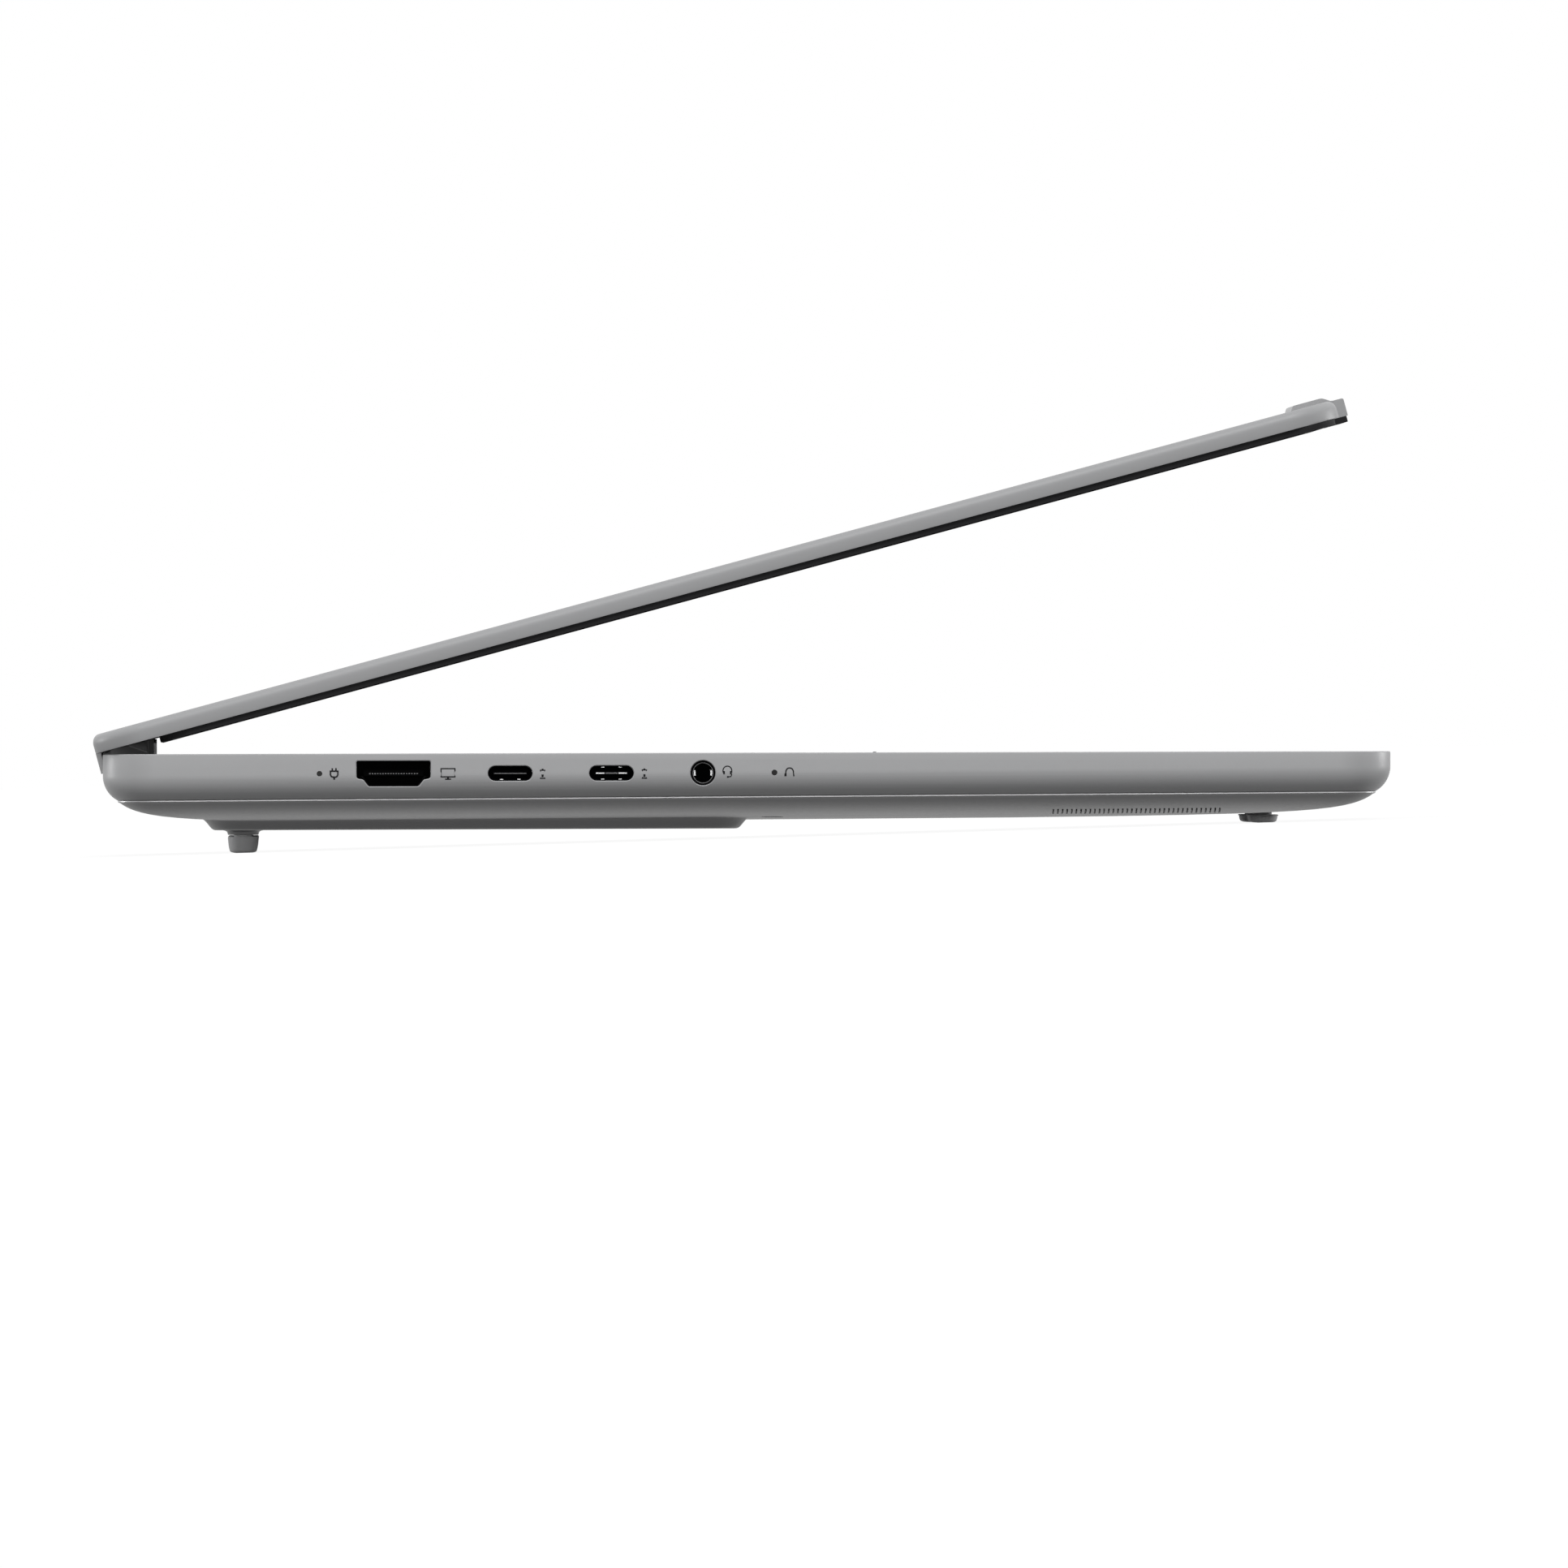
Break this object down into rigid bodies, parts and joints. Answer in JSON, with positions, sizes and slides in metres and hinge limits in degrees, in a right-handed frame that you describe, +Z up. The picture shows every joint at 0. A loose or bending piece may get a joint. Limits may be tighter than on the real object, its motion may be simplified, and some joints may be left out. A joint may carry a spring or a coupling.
{
  "type": "laptop computer",
  "caption": "Thin metal notebook computer standing on rubber feet with its lid raised a little, sockets along both side walls and an intake platform underneath.",
  "frame": {"origin": "centre of the footprint on the table, under the base, at the level that the feet stand on", "axes": "+Z up, -Y towards the person who types, +X along the hinge towards the side with the power button"},
  "size_m": [0.356, 0.2524, 0.0829],
  "materials": {
    "case_metal": "fine bead-blasted grey anodising",
    "cover_metal": "fine bead-blasted grey anodising, a shade darker",
    "black_plastic": "fine satin grain",
    "grey_plastic": "satin",
    "key_plastic": "soft-touch satin with pale legends",
    "foot_rubber": "dull",
    "front_rubber": "dull",
    "band_rubber": "dull",
    "screen": "gloss, dark with the display off",
    "pad_glass": "etched matt",
    "panel": "satin",
    "board": "solder-mask gloss",
    "steel": "rolled",
    "socket_metal": "stamped, bright",
    "copper": "satin copper",
    "fin_metal": "bright sheet",
    "cell_wrap": "smooth wrap",
    "light_guide": "clear"
  },
  "bodies": {
    "base": {"top_case": "case_metal", "bottom_cover": "cover_metal", "hinge_bar": "grey_plastic", "keyboard_frame": "case_metal", "keyboard_tray": "steel", "touchpad_bracket": "steel", "mainboard": "board", "processor": "grey_plastic", "heat_spreader": "copper", "heat_pipes": "copper", "fin_stacks": "fin_metal", "fan_housings": "grey_plastic", "battery": "cell_wrap", "left_speaker": "black_plastic", "right_speaker": "black_plastic", "storage_card": "board", "wireless_card": "board", "display_socket": "socket_metal", "rear_data_socket": "socket_metal", "front_data_socket": "socket_metal", "headphone_socket": "black_plastic", "charge_light": "light_guide", "reset_switch": "black_plastic", "wide_data_sockets": "socket_metal", "memory_card_slot": "socket_metal", "power_switch": "black_plastic", "cover_screws": "steel", "rear_foot": "foot_rubber", "front_feet": "front_rubber", "hinge_brackets": "steel", "hinge_pins": "steel"},
    "lid": {"hinge_leaves": "steel", "lid_shell": "case_metal", "lid_skirt": "grey_plastic", "hinge_channel": "black_plastic", "display_panel": "panel", "screen_glass": "screen", "screen_band": "band_rubber", "camera_lip_trim": "black_plastic", "camera_module": "black_plastic"},
    "function_keys": {"function_keys": "key_plastic"},
    "number_keys": {"number_keys": "key_plastic"},
    "backspace_key": {"backspace_key": "key_plastic"},
    "tab_key": {"tab_key": "key_plastic"},
    "upper_letter_keys": {"upper_letter_keys": "key_plastic"},
    "caps_lock_key": {"caps_lock_key": "key_plastic"},
    "middle_letter_keys": {"middle_letter_keys": "key_plastic"},
    "enter_key": {"enter_key": "key_plastic"},
    "left_shift_key": {"left_shift_key": "key_plastic"},
    "lower_letter_keys": {"lower_letter_keys": "key_plastic"},
    "right_shift_key": {"right_shift_key": "key_plastic"},
    "modifier_keys": {"modifier_keys": "key_plastic"},
    "space_bar": {"space_bar": "key_plastic"},
    "arrow_keys": {"arrow_keys": "key_plastic"},
    "touchpad": {"touchpad": "pad_glass"},
    "power_button": {"power_button": "case_metal"},
    "left_fan": {"left_fan": "black_plastic"},
    "right_fan": {"right_fan": "black_plastic"},
    "camera_shutter": {"camera_shutter": "grey_plastic"}
  },
  "joints": [
    {"name": "lid_hinge", "type": "hinge", "parent": "base", "child": "lid", "pos_m": [0, 0.12023, 0.01561], "axis": [-1, 0, 0], "range_deg": [-15, 120]},
    {"name": "function_keys_press", "type": "slide", "parent": "base", "child": "function_keys", "axis": [0, 0.027, -0.9996], "range_m": [0, 0.001], "stiffness_N_per_m": 400, "springref_m": -0.0015},
    {"name": "number_keys_press", "type": "slide", "parent": "base", "child": "number_keys", "axis": [0, 0.027, -0.9996], "range_m": [0, 0.001], "stiffness_N_per_m": 400, "springref_m": -0.0015},
    {"name": "backspace_key_press", "type": "slide", "parent": "base", "child": "backspace_key", "axis": [0, 0.027, -0.9996], "range_m": [0, 0.001], "stiffness_N_per_m": 150, "springref_m": -0.0015},
    {"name": "tab_key_press", "type": "slide", "parent": "base", "child": "tab_key", "axis": [0, 0.027, -0.9996], "range_m": [0, 0.001], "stiffness_N_per_m": 150, "springref_m": -0.0015},
    {"name": "upper_letter_keys_press", "type": "slide", "parent": "base", "child": "upper_letter_keys", "axis": [0, 0.027, -0.9996], "range_m": [0, 0.001], "stiffness_N_per_m": 400, "springref_m": -0.0015},
    {"name": "caps_lock_key_press", "type": "slide", "parent": "base", "child": "caps_lock_key", "axis": [0, 0.027, -0.9996], "range_m": [0, 0.001], "stiffness_N_per_m": 150, "springref_m": -0.0015},
    {"name": "middle_letter_keys_press", "type": "slide", "parent": "base", "child": "middle_letter_keys", "axis": [0, 0.027, -0.9996], "range_m": [0, 0.001], "stiffness_N_per_m": 400, "springref_m": -0.0015},
    {"name": "enter_key_press", "type": "slide", "parent": "base", "child": "enter_key", "axis": [0, 0.027, -0.9996], "range_m": [0, 0.001], "stiffness_N_per_m": 150, "springref_m": -0.0015},
    {"name": "left_shift_key_press", "type": "slide", "parent": "base", "child": "left_shift_key", "axis": [0, 0.027, -0.9996], "range_m": [0, 0.001], "stiffness_N_per_m": 150, "springref_m": -0.0015},
    {"name": "lower_letter_keys_press", "type": "slide", "parent": "base", "child": "lower_letter_keys", "axis": [0, 0.027, -0.9996], "range_m": [0, 0.001], "stiffness_N_per_m": 400, "springref_m": -0.0015},
    {"name": "right_shift_key_press", "type": "slide", "parent": "base", "child": "right_shift_key", "axis": [0, 0.027, -0.9996], "range_m": [0, 0.001], "stiffness_N_per_m": 150, "springref_m": -0.0015},
    {"name": "modifier_keys_press", "type": "slide", "parent": "base", "child": "modifier_keys", "axis": [0, 0.027, -0.9996], "range_m": [0, 0.001], "stiffness_N_per_m": 400, "springref_m": -0.0015},
    {"name": "space_bar_press", "type": "slide", "parent": "base", "child": "space_bar", "axis": [0, 0.027, -0.9996], "range_m": [0, 0.001], "stiffness_N_per_m": 250, "springref_m": -0.0015},
    {"name": "arrow_keys_press", "type": "slide", "parent": "base", "child": "arrow_keys", "axis": [0, 0.027, -0.9996], "range_m": [0, 0.001], "stiffness_N_per_m": 250, "springref_m": -0.0015},
    {"name": "touchpad_click", "type": "hinge", "parent": "base", "child": "touchpad", "pos_m": [0, -0.0285, 0.01474], "axis": [1, 0, 0], "range_deg": [0, 0.3], "stiffness_Nm_per_rad": 6, "springref_deg": -0.57},
    {"name": "power_button_press", "type": "slide", "parent": "base", "child": "power_button", "axis": [-1, 0, 0], "range_m": [0, 0.0005], "stiffness_N_per_m": 300, "springref_m": -0.001},
    {"name": "left_fan_spin", "type": "hinge", "parent": "base", "child": "left_fan", "pos_m": [-0.104, 0.06485, 0.01041], "axis": [0, -0.027, 0.9996], "continuous": true},
    {"name": "right_fan_spin", "type": "hinge", "parent": "base", "child": "right_fan", "pos_m": [0.104, 0.06485, 0.01041], "axis": [0, -0.027, 0.9996], "continuous": true},
    {"name": "camera_shutter_slide", "type": "slide", "parent": "lid", "child": "camera_shutter", "axis": [1, 0, 0], "range_m": [0, 0.004]}
  ]
}
